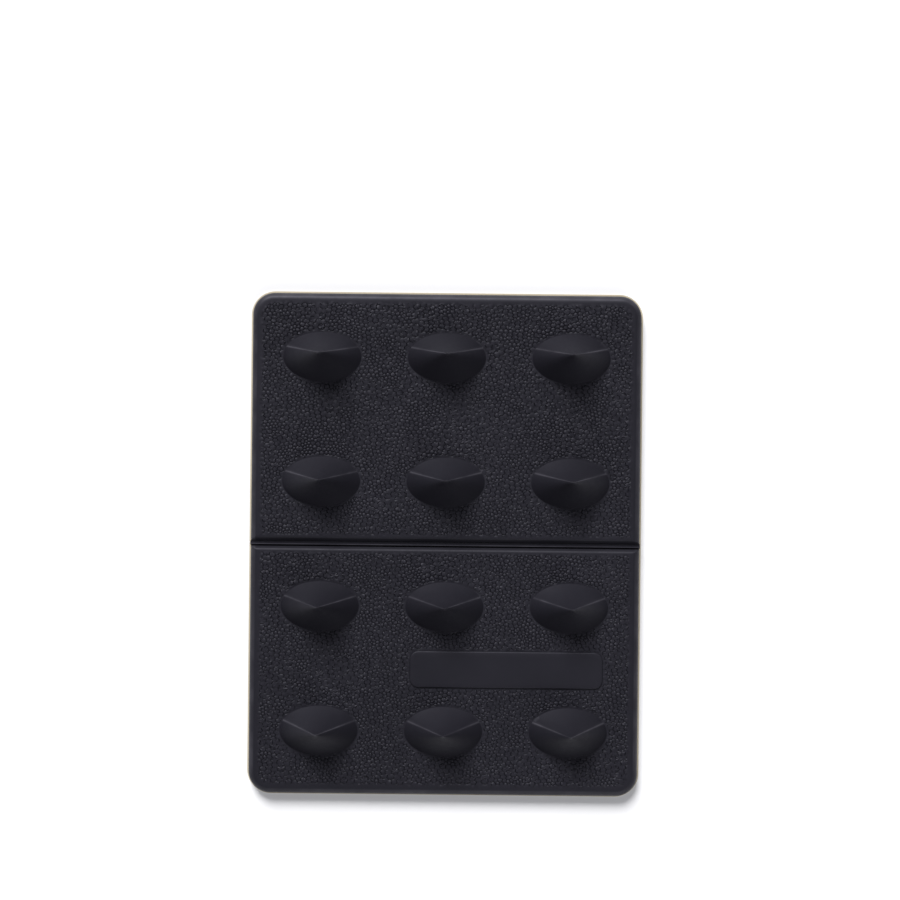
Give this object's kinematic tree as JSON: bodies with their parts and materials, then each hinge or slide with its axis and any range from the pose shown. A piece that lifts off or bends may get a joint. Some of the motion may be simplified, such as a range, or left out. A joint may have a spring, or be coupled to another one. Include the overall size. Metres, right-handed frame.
{
  "type": "snowboard stomp pad",
  "caption": "Rectangular rubber stomp pad with fin-shaped grip teeth, a fold groove across its middle, adhesive sheets and peel-off release liners underneath.",
  "frame": {"origin": "centre of the underside, on the release liners", "axes": "+X to the right along the fold groove, +Y towards the rear half, +Z out of the toothed face"},
  "size_m": [0.09, 0.1152, 0.0142],
  "materials": {
    "tread_rubber": "matte moulded, leather grain",
    "adhesive": "clear amber, tacky",
    "liner": "smooth coated paper"
  },
  "bodies": {
    "rear_half": {"rear_tread": "tread_rubber", "fold_web": "tread_rubber", "rear_adhesive": "adhesive"},
    "front_half": {"front_tread": "tread_rubber", "front_adhesive": "adhesive"},
    "rear_release": {"rear_liner": "liner"},
    "front_release": {"front_liner": "liner"}
  },
  "joints": [
    {"name": "fold", "type": "hinge", "parent": "rear_half", "child": "front_half", "pos_m": [0, 0, 0.00255], "axis": [-1, 0, 0], "range_deg": [0, 50], "stiffness_Nm_per_rad": 0.05},
    {"name": "rear_peel", "type": "hinge", "parent": "rear_half", "child": "rear_release", "pos_m": [0, 0.05765, 0.00025], "axis": [1, 0, 0], "range_deg": [0, 180]},
    {"name": "front_peel", "type": "hinge", "parent": "front_half", "child": "front_release", "pos_m": [0, -0.05765, 0.00025], "axis": [-1, 0, 0], "range_deg": [0, 180]}
  ]
}
